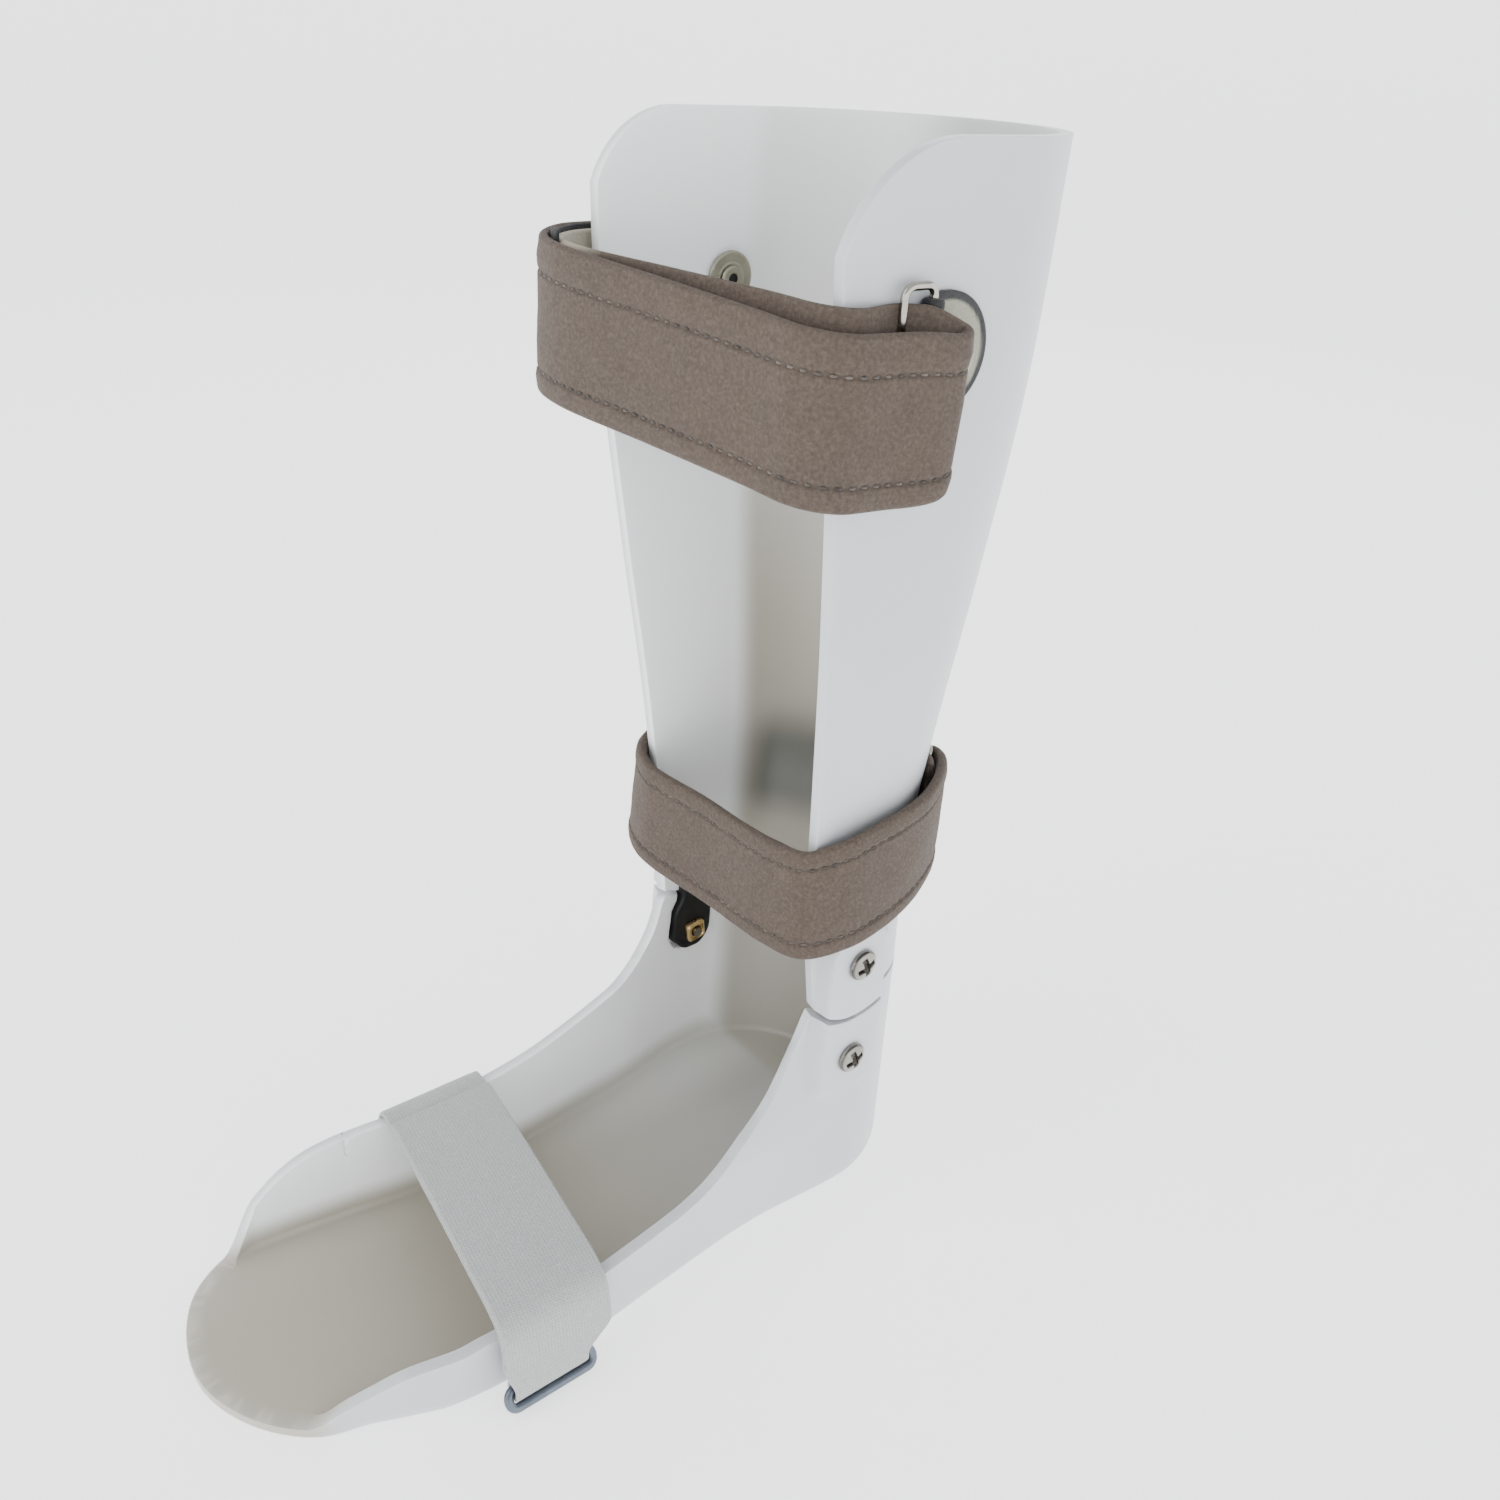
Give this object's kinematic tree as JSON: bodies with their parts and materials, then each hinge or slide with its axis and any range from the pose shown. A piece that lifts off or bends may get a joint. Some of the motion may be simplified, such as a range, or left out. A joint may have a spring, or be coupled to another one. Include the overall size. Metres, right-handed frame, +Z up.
{
  "type": "ankle foot orthosis",
  "caption": "Hinged leg brace: a translucent plastic calf cuff and shoe-shaped sole on flexible ankle joints, held by padded calf and ankle straps and a webbing foot strap.",
  "frame": {"origin": "on the sole's flat underside, straight below the ankle hinge axis, on the mid plane between the two ankle joints", "axes": "+Z up along the leg, -Y towards the toes, +Y towards the heel, +X towards the lateral side of a left leg"},
  "size_m": [0.1321, 0.2882, 0.366],
  "materials": {
    "shell": "translucent white thermoplastic, softly glossy, faintly cool",
    "pad": "brushed taupe padded strap fabric with rolled edges",
    "lining": "thin beige strap lining",
    "webbing": "pale grey strap webbing",
    "black_webbing": "black webbing and hook tape",
    "joint_rubber": "black moulded elastomer",
    "nickel": "bright nickel plate",
    "ring_nickel": "bright nickel plated wire",
    "brass": "plain brass",
    "loop_steel": "dull plated steel wire"
  },
  "bodies": {
    "foot_section": {"foot_shell": "shell", "foot_screw_lateral": "nickel", "foot_screw_medial": "nickel", "foot_nut_lateral": "brass", "foot_nut_medial": "brass", "flexure_joint_lateral": "joint_rubber", "flexure_joint_medial": "joint_rubber", "foot_strap_lower": "webbing", "foot_strap_upper": "webbing", "foot_tab": "webbing", "foot_rivet_medial": "nickel", "foot_rivet_lateral": "nickel", "foot_washer_medial": "nickel", "foot_washer_lateral": "nickel"},
    "calf_section": {"calf_shell": "shell", "calf_screw_lateral": "nickel", "calf_screw_medial": "nickel", "calf_nut_lateral": "brass", "calf_nut_medial": "brass", "calf_strap_outer": "pad", "calf_strap_inner": "lining", "calf_hook_patch": "black_webbing", "calf_tab": "black_webbing", "calf_rivet_medial": "nickel", "calf_rivet_lateral": "nickel", "calf_washer_medial": "nickel", "calf_washer_lateral": "nickel", "ankle_strap": "pad", "ankle_tab": "black_webbing", "ankle_rivet_medial": "nickel", "ankle_rivet_rear": "nickel", "ankle_washer_medial": "nickel", "ankle_washer_rear": "nickel"},
    "calf_ring_body": {"calf_ring": "ring_nickel"},
    "ankle_ring_body": {"ankle_ring": "ring_nickel"},
    "foot_loop_body": {"foot_loop": "loop_steel"}
  },
  "joints": [
    {"name": "ankle_hinge", "type": "hinge", "parent": "foot_section", "child": "calf_section", "pos_m": [0, 0, 0.084], "axis": [1, 0, 0], "range_deg": [-1.5, 8], "stiffness_Nm_per_rad": 12, "deforming": ["flexure_joint_lateral", "flexure_joint_medial"]},
    {"name": "calf_ring_swivel", "type": "hinge", "parent": "calf_section", "child": "calf_ring_body", "pos_m": [0.0588, -0.0135, 0.3025], "axis": [0, 0, 1], "range_deg": [0, 6]},
    {"name": "ankle_ring_swivel", "type": "hinge", "parent": "calf_section", "child": "ankle_ring_body", "pos_m": [0.0221, 0.04935, 0.1425], "axis": [0, 0, 1], "range_deg": [0, 4]},
    {"name": "foot_loop_swing", "type": "hinge", "parent": "foot_section", "child": "foot_loop_body", "pos_m": [0.0583, -0.1275, 0.0085], "axis": [0, 1, 0], "range_deg": [-35, 50]}
  ]
}
